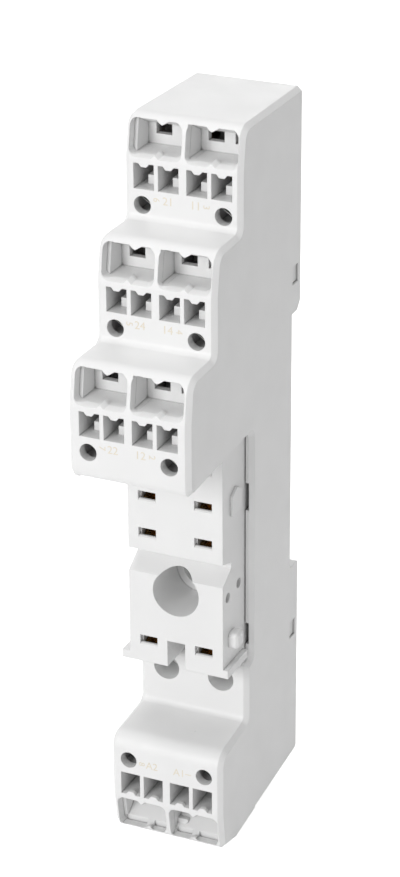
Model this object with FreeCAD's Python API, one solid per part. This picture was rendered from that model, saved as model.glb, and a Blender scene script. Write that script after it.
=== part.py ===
import FreeCAD, Part
import math
import os

os.makedirs("parts", exist_ok=True)
V = FreeCAD.Vector

# Relay socket for a 35 mm top-hat rail, for a slim two-pole changeover relay. Millimetres.
# X runs across the socket, the front looks along -Y, and +Z is up.
# The origin is the middle of the seat on the rail: the floor of the notch at the back.

LAP = 0.1                    # how far a cut runs into the next one

# Rail seat
RAIL_H = 35.0                # width of the rail over its flanges
RAIL_T = 1.0                 # thickness of a rail flange
RAIL_PLAY = 0.2              # play of the rail in the notch
NOTCH_DEEP = 2.7             # depth of the notch in the side walls
NOTCH_R = 0.4                # round at its lower edge
NOTCH_LEAD = 1.0             # slope at its upper edge
HOOK_BITE = 1.4              # how far hook and latch reach behind a flange
HOOK_GAP = 0.25              # gap between a flange and the hook behind it
HOOK_W = 8.0
HOOK_C = 0.4                 # broken edge of the hook

# Housing moulding
HOUSING_W = 15.6             # width at the foremost tier
DRAFT_DEG = 1.0              # mould draft of each side wall
SIDE_WALL = 1.0              # its inside is drafted too
TOP_WALL = 1.2
FLOOR_WALL = 0.9             # wall between two tiers' chambers
MID_WALL = 1.0               # wall between the left and right terminals
EDGE_C = 0.6                 # broken edge along the front outline of both sides
CREASE_R = 0.8               # round in the inner corner between two tiers
BROW_R = 2.2                 # round from a shelf into the face below it
LEAN_DEG = 9.0               # the wire entries lean back by this much

# Terminal tiers: three stepped ones on top, one below the relay
TIER_PITCH_Z = 12.66
TIER_PITCH_Y = 7.83
TOP_FACE_Y = -16.21          # front face of the topmost tier
BROW_H = 5.3                 # from the fold up to the shelf
TOP_FALL = 0.35              # fall of the top towards the back
LOW_FACE_Y = -22.75          # front face of the bottom tier
LOW_FOLD_Z = -42.2
LOW_SHELF_Z = -32.5          # top of the bottom tier at the panel
LOW_SHELF_DROP = 0.75        # fall of that top towards the front
CHIN_GAP = 0.33              # from the relay block's top to the lowest stepped tier
CHIN_TO_FOLD = 9.4           # from that tier's lower edge to its fold
CHIN_RISE = 0.5
CHIN_R = 1.3
BOTTOM_Z = -48.0             # lowest edge of the housing
FOOT_Z = -45.6               # lower end of the housing at the back
FOOT_WALL = 1.2
FOOT_R = 0.5
JOG_Y = -11.6                # small step in the underside
JOG_H = 0.85
BELLY_Y = -18.0              # lowest edge of the underside
BELLY_RISE = 0.54
BELLY_R = 1.0
FACE_END = 0.9               # lower end of the bottom tier's face above the lowest edge
FACE_END_R = 1.1
NICK_Y = (-19.7, -18.3)      # small notch in the lower edge of each side
NICK_H = 1.0

# Openings in a tier
EDGE_BAND = 0.6              # plain band beside the entries
ENTRY_GAP = 0.45             # between the two double entries
ENTRY_H = 4.7
ENTRY_UP = 2.55              # middle of the entry above the fold
ENTRY_R = 0.9
LIP_W = 0.27                 # width of the chamfered lip above and below
LIP_SIDE = 0.5               # and at the sides
LIP_SHIFT = 0.2              # wider on the left than on the right
LIP_DEEP = 0.55
TOOTH_W = 1.0                # tooth on the squares' side
FAR_TOOTH_W = 1.6            # and the one opposite, nearer the middle of the socket
FAR_TOOTH_IN = 0.45
TOOTH_H = 0.5
ENTRY_DEEP = 4.7             # depth of the wire funnel
GATES = {1: (1.28, 2.6), -1: (0.3, 1.8)}   # heights where windows start and end, upper and bottom tiers
THROAT_L = 0.6               # straight part behind the lip
CHAMBER_OVER = 0.35          # clamp chamber above the shelf below it
CHAMBER_PLAY = 0.2           # and beyond the bar of the bottom tier
FRONT_DEEP = 5.6             # depth of moulding in front of the clamp chamber
WINDOW_W = 2.05              # windows from the funnel into the clamp chamber
WINDOW_OFFSETS = {-1: (-1.85, 1.6), 1: (-2.35, 1.1)}   # in the left and right entries
SQUARE_W = 2.63              # holes for the tool that opens a clamp
SQUARE_H = 3.15
SQUARE_DOWN = 2.08           # middle of a square below the fold
SQUARE_OFFSETS = (-1.78, 1.38)   # from the middle of the entry
TAB_W = 1.35                 # small tapered tab in each square
TAB_H = 0.42
TAB_T = 0.6
STEP_W = 1.7                 # step inside each square
STEP_H = 1.15
STEP_IN = 2.1
TEST_OFFSET = 1.6            # test probe holes, from the middle of the entry
TEST_D = 2.2
TEST_WALL = 1.3              # moulding in front of the room behind the hole
TEST_ROOM = 2.8
TEST_DOWN = 5.6

# Space for the relay block between the side walls
RIM_Y = -12.6                # front edge of the side walls beside the block
RIM_POCKETS = ((-3.7, 0.0), (-22.4, -19.4))   # heights of the pockets for the relay's clip
RIM_POCKET_W = 0.42
RIM_POCKET_DEEP = 2.5
PANEL_Y = -14.2              # panel below the block
PANEL_TOP_Z = -24.3
PANEL_FALL = 0.3
PANEL_R = 0.75
PANEL_T = 5.0
MODULE_X = 3.75              # two round holes for a plug-in module
MODULE_Z = -27.2
MODULE_D = 3.5
MODULE_DEEP = 4.0

# Snap windows of the base in both side walls
SNAP_ZS = (22.6, -26.9)
SNAP_Y = 1.0
SNAP_W = 1.8
SNAP_H = 2.4
SNAP_SUNK = 0.25             # the tab ends this far below the side's surface
SNAP_PLAY = 0.1

# Base moulding
BASE_PLAY = 0.1
BASE_T = 1.4                 # thickness behind the notch floor
BASE_WALL = 1.2              # walls round the hollow of its upper part
BASE_BACK = 0.4              # the base ends this far inside the housing's back edge

# Relay block
BLOCK_GAP = 0.45             # to the housing's inner face, before the draft
BLOCK_Y = -19.3              # front plane, where the relay sits
BLOCK_BACK_Y = -9.6
BLOCK_OVER = 1.84            # block above the topmost row of slots
BLOCK_LOW_Z = -23.7
GROOVE_TOP_Z = -8.2          # V groove across the block
GROOVE_LOW_Z = -11.35
GROOVE_DEEP = 2.6
GROOVE_FALL = 0.8            # its upper side falls towards the back
GROOVE_RISE = 1.6            # and its lower side rises
BLOCK_NOTCH_W = 2.4
BLOCK_NOTCH_H = 3.4
LEDGE_SHY = {-1: 0.35, 1: 0.8}   # thin ledge under the block, this far inside the housing's width
LEDGE_T = 1.1
LEDGE_DROP = 0.2             # below the block
LEDGE_BACK_Y = -13.2

# Relay pins: coil at row 0, contacts at 15, 20 and 25 mm
PIN_X = 3.75
ROW_Z0 = -20.74
ROWS = {"coil": 0.0, "nc": 15.0, "com": 20.0, "no": 25.0}
SLOT_W = 2.36
SLOT_H = 1.1
SLOT_LIP = 0.2

# Screw hole through block and base
SCREW_Z = -13.45
SCREW_D = 4.2
HEAD_D = 6.2
HEAD_DEEP = 7.1
BOSS_D = 7.6

# Details on the sides of the block
PEG_SIDE = 1                 # the peg is on the right side only
PEG_Y = -16.7
PEG_Z = -19.45
PEG_SIZE = 2.1
PEG_OUT = 1.3
PEG_R = 0.5
PEG_C = 0.3
TAG_Y = (-17.1, -14.2)       # flat tab with a pointed top
TAG_Z = (-2.5, 0.1)
TAG_PEAK = 0.8
TAG_OUT = 0.35
PIN_HOLES = ((-17.8, -13.35), (-14.45, -12.9))
PIN_HOLE_D = 1.3
PIN_HOLE_DEEP = 2.0

# Contact clips
CLIP_W = 1.8
CLIP_T = 0.3
CLIP_H = 2.2
CLIP_LEN = 7.0
SLOT_WALL = 0.5              # block in front of a clip's pocket
CLIP_IN = 1.1                # from the block's front to the mouth of the clip
CLIP_PLAY = 0.1
CLIP_WAIST = 1.6             # from its mouth to the waist that grips the pin
CLIP_OPEN = 3.0              # and to where it is wide again
CLIP_NIP = 0.2               # half the gap at the waist
LUG_H = 1.6                  # lug of the bus bar at the clip's tail
LUG_OVER = 0.8

# Bus bars
BAR_T = 0.6
BAR_SHY = 0.875              # bar inside the entry's width, each side
RUN_W = 1.4                  # the strip down to the clip
BAR_UP = {"nc": 3.7, "no": 3.7, "com": 3.7, "coil": 2.9}   # the clamp face above the fold
BAR_GAP = 0.1                # behind the front moulding
BAR_LEN = 5.6
BAR_DROP = 6.2               # the lower leg below the fold
SHAFT_ROOM = 1.2             # shaft in front of the foremost run
BAR_RUN_Y = {"nc": -8.0, "no": -5.5, "com": -3.4, "coil": -8.0}
RUN_GAP = 0.1                # runs beside another clip's tail, from the housing's inner face

# Clamp springs
SPRING_T = 0.35
SPRING_GAP = 0.3             # between the two springs of a terminal
SPRING_SHY = 0.05            # inside the bar's width
SPRING_R = 1.3               # middle radius of the bend
SPRING_LEAN = 8.0            # lean of the clamping leg, degrees
SPRING_DOWN = 2.2            # start of the bend below the fold
SPRING_SHORT = 2.0           # the fixed leg ends this far below the clamp face
SPRING_CLEAR = 0.02          # the other leg this far

# Rail latch
LATCH_W = 6.0
LATCH_WING = 0.9
LATCH_WING_T = 0.8
LATCH_COVER = 1.0            # base behind the wings
LATCH_PLAY = 0.08
GROOVE_END = 1.0             # base below the grooves of the wings
LATCH_TAIL = 3.0             # reach below the foot
LATCH_TRAVEL = 2.5
LATCH_TOP_Z = -18.9
WAVE_T = 0.4
WAVE_PITCH = 1.6
WAVE_N = 5
WAVE_W = 4.4
WAVE_TOP_Z = -21.9
POCKET_H = 11.0              # pocket of the spring in the latch
STOP_H = 0.9                 # rib of the base under the spring
STOP_GAP = 0.05
POCKET_PLAY = 0.3            # pocket round the spring
WAVE_DEEP = 0.6              # width of the spring's strip
TAIL_SLOT_W = 3.2            # slot for a screwdriver in the latch's tail
TAIL_SLOT_H = 1.0
TAIL_SLOT_UP = 0.9

# Values worked out from those above
BLOCK_TOP_Z = ROW_Z0 + ROWS["no"] + BLOCK_OVER
CHIN_Z = BLOCK_TOP_Z + CHIN_GAP
TOP_FOLD_Z = CHIN_Z + CHIN_TO_FOLD + 2 * TIER_PITCH_Z
BLOCK_W = HOUSING_W - 2 * (SIDE_WALL + BLOCK_GAP)
ENTRY_X = (HOUSING_W / 2 - EDGE_BAND) / 2
ENTRY_W = 2 * ENTRY_X - ENTRY_GAP
BAR_W = ENTRY_W - 2 * BAR_SHY
SPRING_W = (BAR_W - SPRING_GAP) / 2 - SPRING_SHY
SPRING_X = (SPRING_W + SPRING_GAP) / 2
NOTCH_H = RAIL_H + RAIL_PLAY
NOTCH_TOP = NOTCH_H / 2
BACK_Y = NOTCH_DEEP
FRONT_Y = TOP_FACE_Y - 2 * TIER_PITCH_Y
LEAN = math.tan(math.radians(LEAN_DEG))
DRAFT = math.tan(math.radians(DRAFT_DEG))
HOOK_Y = RAIL_T + HOOK_GAP
BASE_Y = BACK_Y - BASE_BACK
TOP_Z = TOP_FOLD_Z + BROW_H
BASE_TOP_Z = TOP_Z - TOP_WALL - BASE_PLAY
BASE_LOW_Z = FOOT_Z + FOOT_WALL + BASE_PLAY
WING_Y = BASE_Y - LATCH_COVER

# Each tier: its front face, its fold, and whether its entries are above (+1) or below (-1) the squares
TIERS = {
    "com": (TOP_FACE_Y, TOP_FOLD_Z, 1),
    "no": (TOP_FACE_Y - TIER_PITCH_Y, TOP_FOLD_Z - TIER_PITCH_Z, 1),
    "nc": (FRONT_Y, TOP_FOLD_Z - 2 * TIER_PITCH_Z, 1),
    "coil": (LOW_FACE_Y, LOW_FOLD_Z, -1),
}
TERMINALS = {
    "21": ("com", -1), "11": ("com", 1),
    "24": ("no", -1), "14": ("no", 1),
    "22": ("nc", -1), "12": ("nc", 1),
    "A2": ("coil", -1), "A1": ("coil", 1),
}


def half_width(y):
    """Half the housing's width at depth y: the side walls draw in towards the back."""
    return HOUSING_W / 2 - (y - FRONT_Y) * DRAFT


def inner_half(y):
    return half_width(y) - SIDE_WALL


def inner_slab(y0, y1, z0, z1, grow=0.0, x_from=None, x_side=0):
    """Space between the drafted inner faces; with x_from only the part on one side of it."""
    h0 = inner_half(y0) + grow
    h1 = inner_half(y1) + grow
    if x_side:
        pts = [V(x_side * x_from, y0, z0), V(x_side * h0, y0, z0),
               V(x_side * h1, y1, z0), V(x_side * x_from, y1, z0)]
    else:
        pts = [V(-h0, y0, z0), V(h0, y0, z0), V(h1, y1, z0), V(-h1, y1, z0)]
    return Part.Face(Part.makePolygon(pts + pts[:1])).extrude(V(0, 0, z1 - z0))


def box(x0, x1, y0, y1, z0, z1):
    x0, x1 = sorted((x0, x1))
    y0, y1 = sorted((y0, y1))
    z0, z1 = sorted((z0, z1))
    return Part.makeBox(x1 - x0, y1 - y0, z1 - z0, V(x0, y0, z0))


def rounded_wire(corners, place):
    """Closed outline through (a, b, radius) corners, each rounded by an arc tangent to both its sides."""
    edges = []
    last = None
    first = None
    count = len(corners)
    for i in range(count):
        a = V(*corners[i - 1][:2], 0)
        b = V(*corners[i][:2], 0)
        c = V(*corners[(i + 1) % count][:2], 0)
        r = corners[i][2]
        to_a = (a - b).normalize()
        to_c = (c - b).normalize()
        if r > 0:
            half = to_a.getAngle(to_c) / 2
            run = r / math.tan(half)
            start = b + to_a * run
            end = b + to_c * run
            mid_way = (to_a + to_c).normalize()
            mid = b + mid_way * (r / math.sin(half) - r)
        else:
            start = end = b
        if last is not None:
            edges.append(Part.LineSegment(place(last), place(start)).toShape())
        else:
            first = start
        if r > 0:
            edges.append(Part.Arc(place(start), place(mid), place(end)).toShape())
        last = end
    edges.append(Part.LineSegment(place(last), place(first)).toShape())
    return Part.Wire(edges)


def side_plate(corners, x0, x1):
    """A plate with the given (y, z, radius) outline between two X planes."""
    wire = rounded_wire(corners, lambda p: V(x0, p.x, p.y))
    return Part.Face(wire).extrude(V(x1 - x0, 0, 0))


def front_prism(corners, y0, y1):
    """A prism with the given (x, z, radius) outline between two Y planes."""
    wire = rounded_wire(corners, lambda p: V(p.x, y0, p.y))
    return Part.Face(wire).extrude(V(0, y1 - y0, 0))


def rod(d, y0, y1, x, z):
    return Part.makeCylinder(d / 2, y1 - y0, V(x, y0, z), V(0, 1, 0))


def housing_outline():
    """Side view of the housing, from the back top corner over the front to the foot and the notch."""
    lean_y = BROW_H * LEAN
    corners = [(BACK_Y, TOP_Z - TOP_FALL, 0)]
    for name in ("com", "no", "nc"):
        face, fold, _ = TIERS[name]
        shelf = fold + BROW_H
        corners.append((face + lean_y, shelf, BROW_R))
        corners.append((face, fold, BROW_R))
        if name != "nc":
            corners.append((face, shelf - TIER_PITCH_Z, CREASE_R))
    drop = (LOW_FOLD_Z - BOTTOM_Z - FACE_END) * LEAN
    corners += [
        (FRONT_Y, CHIN_Z, CHIN_R),
        (RIM_Y, CHIN_Z + CHIN_RISE, CREASE_R),
        (RIM_Y, PANEL_TOP_Z, PANEL_R),
        (PANEL_Y, PANEL_TOP_Z - PANEL_FALL, PANEL_R),
        (PANEL_Y, LOW_SHELF_Z, CREASE_R),
        (LOW_FACE_Y, LOW_SHELF_Z - LOW_SHELF_DROP, BROW_R),
        (LOW_FACE_Y, LOW_FOLD_Z, BROW_R),
        (LOW_FACE_Y + drop, BOTTOM_Z + FACE_END, FACE_END_R),
        (BELLY_Y, BOTTOM_Z, BELLY_R),
        (JOG_Y, BOTTOM_Z + BELLY_RISE, 0),
        (JOG_Y, BOTTOM_Z + BELLY_RISE + JOG_H, 0),
        (BACK_Y, FOOT_Z, FOOT_R),
        (BACK_Y, -NOTCH_TOP, NOTCH_R),
        (0, -NOTCH_TOP, 0),
        (0, NOTCH_TOP, 0),
        (BACK_Y - NOTCH_LEAD, NOTCH_TOP, 0),
        (BACK_Y, NOTCH_TOP + NOTCH_LEAD, 0),
    ]
    return corners


def drafted_block():
    """Everything between the two drafted side faces."""
    y0 = FRONT_Y - 1
    y1 = BACK_Y + 1
    pts = [V(-half_width(y0), y0, BOTTOM_Z - 1), V(half_width(y0), y0, BOTTOM_Z - 1),
           V(half_width(y1), y1, BOTTOM_Z - 1), V(-half_width(y1), y1, BOTTOM_Z - 1)]
    face = Part.Face(Part.makePolygon(pts + pts[:1]))
    return face.extrude(V(0, 0, TOP_Z - BOTTOM_Z + 2))


def housing_body():
    """The outer form, with its front outline rounded along both sides."""
    wide = HOUSING_W
    body = side_plate(housing_outline(), -wide, wide).common(drafted_block())
    if body.Solids:
        body = body.Solids[0]
    edges = []
    for edge in body.Edges:
        mid = edge.valueAt((edge.FirstParameter + edge.LastParameter) / 2)
        on_side = abs(abs(mid.x) - half_width(mid.y)) < 0.01
        behind = mid.y > BACK_Y - 0.01 or (mid.y > -0.01 and abs(mid.z) < NOTCH_TOP + NOTCH_LEAD)
        low_jog = mid.y > BELLY_Y - 0.1 and mid.z < FOOT_Z + FOOT_R
        if on_side and not behind and not low_jog:
            edges.append(edge)
    return body.makeChamfer(EDGE_C, edges)


def entry_outline(x, z, side, shrink_x, shrink_z):
    """A double wire entry: two round-cornered bays parted by a small tooth above and below."""
    w = ENTRY_W / 2 - shrink_x
    h = ENTRY_H / 2 - shrink_z
    t = TOOTH_W / 2
    far_t = FAR_TOOTH_W / 2
    far_x = x - math.copysign(FAR_TOOTH_IN, x)
    s = side
    r = ENTRY_R - shrink_z / 2
    return [
        (x - w, z - s * h, r), (x - t, z - s * h, 0), (x, z - s * (h - TOOTH_H), 0), (x + t, z - s * h, 0),
        (x + w, z - s * h, r), (x + w, z + s * h, r), (far_x + far_t, z + s * h, 0),
        (far_x, z + s * (h - TOOTH_H), 0), (far_x - far_t, z + s * h, 0), (x - w, z + s * h, r),
    ]


def entry_cut(x, face, fold, side):
    """Chamfered lip, funnel narrowing to the back, and the two windows into the clamp chamber."""
    z = fold + side * ENTRY_UP
    lip_y = face + LIP_DEEP + ENTRY_UP * LEAN
    back = face + ENTRY_DEEP
    wide = entry_outline(x, z, side, 0, 0)
    mid = x + LIP_SHIFT
    narrow = entry_outline(mid, z, side, LIP_SIDE, LIP_W)
    front = rounded_wire(wide, lambda p: V(p.x, face - 1, p.y))
    outer = rounded_wire(wide, lambda p: V(p.x, face + side * (p.y - fold) * LEAN, p.y))
    inner = rounded_wire(narrow, lambda p: V(p.x, lip_y, p.y))
    lip = Part.makeLoft([outer, inner], True, True)
    cap = Part.makeLoft([front, outer], True, True)
    w = ENTRY_W / 2 - LIP_SIDE
    low, high = GATES[side]
    near = z - side * (ENTRY_H / 2 - LIP_W)
    far = z + side * (ENTRY_H / 2 - LIP_W)
    throat = front_prism(narrow, lip_y, lip_y + THROAT_L)
    funnel = side_plate([(lip_y + THROAT_L - LAP, near, 0), (back, near, 0), (back, near + side * high, 0),
                         (lip_y + THROAT_L - LAP, far, 0)], mid - w, mid + w)
    cut = cap.fuse([lip, throat, funnel])
    for offset in WINDOW_OFFSETS[1 if x > 0 else -1]:
        right = min(x + offset + WINDOW_W, mid + w)
        cut = cut.fuse(box(x + offset, right, back - LAP, face + FRONT_DEEP + LAP,
                           near + side * low, near + side * high))
    return cut


def test_cut(x, face, fold, side):
    """Test probe hole through the front wall, with the room behind it."""
    z = fold - side * TEST_DOWN
    half = TEST_ROOM / 2
    hole = rod(TEST_D, face - 1, face + FRONT_DEEP, x, z)
    outer = min(abs(x) + half, inner_half(face))
    inner = abs(x) - half
    room = box(math.copysign(inner, x), math.copysign(outer, x), face + TEST_WALL,
               face + FRONT_DEEP + LAP, z - half, z + half)
    return hole.fuse(room)


def square_cut(x, face, fold, side):
    """Tool hole with a tapered tab at its outer edge and a step inside."""
    z = fold - side * SQUARE_DOWN
    w = SQUARE_W / 2
    h = SQUARE_H / 2
    t = TAB_W / 2
    top = z + side * h
    hole = box(x - w, x + w, face - 1, face + FRONT_DEEP + LAP, z - h, z + h)
    tab = front_prism([(x - t, top + side, 0), (x - t, top, 0), (x - t / 2, top - side * TAB_H, 0),
                       (x + t / 2, top - side * TAB_H, 0), (x + t, top, 0), (x + t, top + side, 0)],
                      face - 2, face + TAB_T)
    step = box(x + w - STEP_W, x + w + 1, face + STEP_IN, face + FRONT_DEEP + 1,
               z - side * (h + 1), z - side * (h - STEP_H))
    return hole.cut(tab.fuse(step))


def clamp_chamber(name, x_side):
    """Room behind a tier's front moulding for one terminal's bar and springs."""
    face, fold, side = TIERS[name]
    if name == "coil":
        z0 = fold - BAR_UP[name] - BAR_T / 2 - CHAMBER_PLAY
        z1 = LOW_SHELF_Z - LOW_SHELF_DROP - FLOOR_WALL
        front = inner_slab(face + FRONT_DEEP, JOG_Y + CHAMBER_PLAY, z0, z1, 0, MID_WALL / 2, x_side)
        rear = inner_slab(JOG_Y, -BASE_T, FOOT_Z + FOOT_WALL, z1, 0, MID_WALL / 2, x_side)
        return front.fuse(rear)
    z1 = fold + BROW_H - (TOP_WALL if name == "com" else FLOOR_WALL)
    z0 = fold + BROW_H - TIER_PITCH_Z + CHAMBER_OVER
    if name == "nc":
        z0 = CHIN_Z + CHIN_RISE + FLOOR_WALL
    return inner_slab(face + FRONT_DEEP, -BASE_T, z0, z1, 0, MID_WALL / 2, x_side)


def housing():
    body = housing_body()
    cuts = []
    for name, (face, fold, side) in TIERS.items():
        for x_side in (-1, 1):
            cuts.append(entry_cut(x_side * ENTRY_X, face, fold, side))
            cuts.append(test_cut(x_side * (ENTRY_X + TEST_OFFSET), face, fold, side))
            cuts.append(clamp_chamber(name, x_side))
            for offset in SQUARE_OFFSETS:
                cuts.append(square_cut(x_side * (ENTRY_X + offset), face, fold, side))
    # shaft for the bus bars along the back, and the seat of the base behind it
    cuts.append(inner_slab(BAR_RUN_Y["coil"] - SHAFT_ROOM, BACK_Y + 1, FOOT_Z + FOOT_WALL, TOP_Z - TOP_WALL))
    # space for the relay block between the side walls
    cuts.append(inner_slab(FRONT_Y, BACK_Y, PANEL_TOP_Z, CHIN_Z + CHIN_RISE))
    cuts.append(inner_slab(PANEL_Y + PANEL_T, BACK_Y, LOW_SHELF_Z, PANEL_TOP_Z + 0.5))
    for low, high in RIM_POCKETS:
        cuts.append(inner_slab(RIM_Y - 1, RIM_Y + RIM_POCKET_DEEP, low, high, RIM_POCKET_W))
    # way of the latch through the foot
    way = LATCH_W / 2 + LATCH_PLAY
    cuts.append(box(-way, way, WING_Y - LATCH_WING_T, BACK_Y + 1, FOOT_Z - 1, FOOT_Z + FOOT_WALL + 1))
    for x_side in (-1, 1):
        nick_x = inner_half(NICK_Y[0])
        cuts.append(box(x_side * nick_x, x_side * HOUSING_W, NICK_Y[0], NICK_Y[1],
                        BOTTOM_Z - 1, BOTTOM_Z + NICK_H))
        cuts.append(rod(MODULE_D, PANEL_Y - 1, PANEL_Y + MODULE_DEEP, x_side * MODULE_X, MODULE_Z))
        for z in SNAP_ZS:
            cuts.append(box(x_side * (inner_half(SNAP_Y) - LAP), x_side * HOUSING_W, SNAP_Y - SNAP_W / 2,
                            SNAP_Y + SNAP_W / 2, z - SNAP_H / 2, z + SNAP_H / 2))
    return body.cut(cuts).removeSplitter()


def base():
    """Rear moulding: closes the housing, holds the rail hook, the snap tabs and the latch guide."""
    half = inner_half(BASE_Y) - BASE_PLAY
    notch = NOTCH_TOP
    outline = [(-BASE_T, BASE_LOW_Z, 0), (BASE_Y, BASE_LOW_Z, 0), (BASE_Y, -notch, 0), (0, -notch, 0),
               (0, notch, 0), (BASE_Y, notch, 0), (BASE_Y, BASE_TOP_Z, 0), (-BASE_T, BASE_TOP_Z, 0)]
    body = side_plate(outline, -half, half)
    tip = notch - HOOK_BITE
    root = notch + HOOK_BITE / 2
    hook = side_plate([(HOOK_Y, root, 0), (HOOK_Y, tip, 0), (BASE_Y - HOOK_C, tip, 0),
                       (BASE_Y, tip + HOOK_C, 0), (BASE_Y, root, 0)], -HOOK_W / 2, HOOK_W / 2)
    tabs = []
    for x_side in (-1, 1):
        for z in SNAP_ZS:
            out = half_width(SNAP_Y) - SNAP_SUNK
            w = SNAP_W / 2 - SNAP_PLAY
            h = SNAP_H / 2 - SNAP_PLAY
            tabs.append(box(x_side * (half - 0.5), x_side * out, SNAP_Y - w, SNAP_Y + w, z - h, z + h))
    body = body.fuse([hook] + tabs)
    # hollow behind the thick upper part, open to the front
    cuts = [box(-half + BASE_WALL, half - BASE_WALL, -BASE_T - 1, BASE_Y - BASE_WALL,
                notch + BASE_WALL, BASE_TOP_Z - BASE_WALL)]
    cuts.append(rod(SCREW_D, -BASE_T - 1, 1, 0, SCREW_Z))
    # guide of the latch: a channel with a groove on each side
    channel = LATCH_W / 2 + LATCH_PLAY
    groove = channel + LATCH_WING
    cuts.append(box(-channel, channel, WING_Y - LATCH_WING_T, BASE_Y + 1, BASE_LOW_Z - 1, -notch + 1))
    cuts.append(box(-groove, groove, WING_Y - LATCH_WING_T, WING_Y + LATCH_PLAY,
                    BASE_LOW_Z + GROOVE_END, LATCH_TOP_Z))
    stop_z = WAVE_TOP_Z - wave_length() - STOP_GAP
    stop = box(-WAVE_W / 2, WAVE_W / 2, WING_Y - LATCH_WING_T, WING_Y + LAP, stop_z - STOP_H, stop_z)
    return body.cut(cuts).fuse(stop).removeSplitter()


def wave_length():
    """Height of the latch spring at rest."""
    return (WAVE_N - 1) * WAVE_PITCH + WAVE_T


def relay_block():
    half = BLOCK_W / 2
    outline = [
        (BLOCK_Y, BLOCK_TOP_Z, 0), (BLOCK_Y, GROOVE_TOP_Z, 0),
        (BLOCK_Y + GROOVE_DEEP, GROOVE_TOP_Z - GROOVE_FALL, 0),
        (BLOCK_Y + GROOVE_DEEP, GROOVE_LOW_Z + GROOVE_RISE, 0),
        (BLOCK_Y, GROOVE_LOW_Z, 0), (BLOCK_Y, BLOCK_LOW_Z, 0),
        (BLOCK_BACK_Y, BLOCK_LOW_Z, 0), (BLOCK_BACK_Y, BLOCK_TOP_Z, 0),
    ]
    prism = side_plate(outline, -half, half)
    ledge_z = BLOCK_LOW_Z - LEDGE_DROP
    ledge = box(LEDGE_SHY[-1] - HOUSING_W / 2, HOUSING_W / 2 - LEDGE_SHY[1], BLOCK_Y, LEDGE_BACK_Y,
                ledge_z, ledge_z + LEDGE_T)
    boss = rod(BOSS_D, BLOCK_BACK_Y - 1, -BASE_T, 0, SCREW_Z)
    adds = [ledge, boss]
    for x_side in (-1, 1):
        adds.append(side_details(x_side, half))
    body = prism.fuse(adds)
    cuts = [rod(HEAD_D, BLOCK_Y - 1, BLOCK_Y + HEAD_DEEP, 0, SCREW_Z), rod(SCREW_D, BLOCK_Y, 1, 0, SCREW_Z)]
    notch_h = BLOCK_LOW_Z + BLOCK_NOTCH_H
    notch_w = BLOCK_NOTCH_W / 2
    cuts.append(box(-notch_w, notch_w, BLOCK_Y - 1, BLOCK_BACK_Y + 1, BLOCK_LOW_Z - 2, notch_h))
    for row in ROWS.values():
        for x_side in (-1, 1):
            cuts.append(pin_slot(x_side * PIN_X, ROW_Z0 + row))
    for y, z in PIN_HOLES:
        for x_side in (-1, 1):
            start = V(x_side * (half + 1), y, z)
            cuts.append(Part.makeCylinder(PIN_HOLE_D / 2, PIN_HOLE_DEEP + 1, start, V(-x_side, 0, 0)))
    return body.cut(cuts)


def pin_slot(x, z):
    """Slot for one relay pin, with a chamfered lower lip, and the clip's pocket behind it."""
    w = SLOT_W / 2
    h = SLOT_H / 2
    slot = box(x - w, x + w, BLOCK_Y - 1, BLOCK_Y + SLOT_WALL + LAP, z - h, z + h)
    lip = side_plate([(BLOCK_Y - LAP, z - h - SLOT_LIP - LAP, 0), (BLOCK_Y + SLOT_LIP, z - h, 0),
                      (BLOCK_Y + SLOT_LIP, z, 0), (BLOCK_Y - LAP, z, 0)], x - w, x + w)
    pocket_w = CLIP_W / 2 + CLIP_PLAY
    pocket_h = CLIP_H / 2 + CLIP_PLAY
    pocket = box(x - pocket_w, x + pocket_w, BLOCK_Y + SLOT_WALL, BLOCK_BACK_Y + 1,
                 z - pocket_h, z + pocket_h)
    return slot.fuse([lip, pocket])


def side_details(x_side, half):
    """Pointed tab on one side of the block, and the peg below it on the right."""
    h = PEG_SIZE / 2
    root = x_side * (half - LAP)
    mid = (TAG_Y[0] + TAG_Y[1]) / 2
    outline = [(TAG_Y[0], TAG_Z[0], 0), (TAG_Y[1], TAG_Z[0], 0), (TAG_Y[1], TAG_Z[1], 0),
               (mid, TAG_Z[1] + TAG_PEAK, 0), (TAG_Y[0], TAG_Z[1], 0)]
    tag = side_plate(outline, root, x_side * (half + TAG_OUT))
    if x_side != PEG_SIDE:
        return tag
    corners = [(PEG_Y - h, PEG_Z - h, PEG_R), (PEG_Y + h, PEG_Z - h, PEG_R),
               (PEG_Y + h, PEG_Z + h, PEG_R), (PEG_Y - h, PEG_Z + h, PEG_R)]
    end = x_side * (half + PEG_OUT)
    peg = side_plate(corners, root, end)
    rim = [edge for edge in peg.Edges if abs(edge.CenterOfMass.x - end) < 0.01]
    return peg.makeChamfer(PEG_C, rim).fuse(tag)


def contact_clip(name):
    """Tulip contact: two spring leaves that grip a relay pin, and a tail back to the bus bar."""
    tier, x_side = TERMINALS[name]
    x = x_side * PIN_X
    z = ROW_Z0 + ROWS[tier]
    y0 = BLOCK_Y + CLIP_IN
    y1 = y0 + CLIP_LEN
    h = CLIP_H / 2
    t = CLIP_T
    w = CLIP_W / 2
    leaves = []
    for s in (-1, 1):
        nip = z + s * CLIP_NIP
        leaf = [(y0, z + s * (h - t), 0), (y0, z + s * h, 0), (y0 + CLIP_WAIST, nip + s * t, 0),
                (y0 + CLIP_OPEN, z + s * h, 0), (y1, z + s * h, 0), (y1, z + s * (h - t), 0),
                (y0 + CLIP_OPEN + t, z + s * (h - t), 0), (y0 + CLIP_WAIST, nip, 0)]
        leaves.append(side_plate(leaf, x - w, x + w))
    yoke = box(x - w, x + w, y1, y1 + t, z - h, z + h)
    tail = box(x - w, x + w, y1 + t, BAR_RUN_Y[tier] - BAR_T / 2, z - t / 2, z + t / 2)
    return yoke.fuse(leaves + [tail]).removeSplitter()


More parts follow.
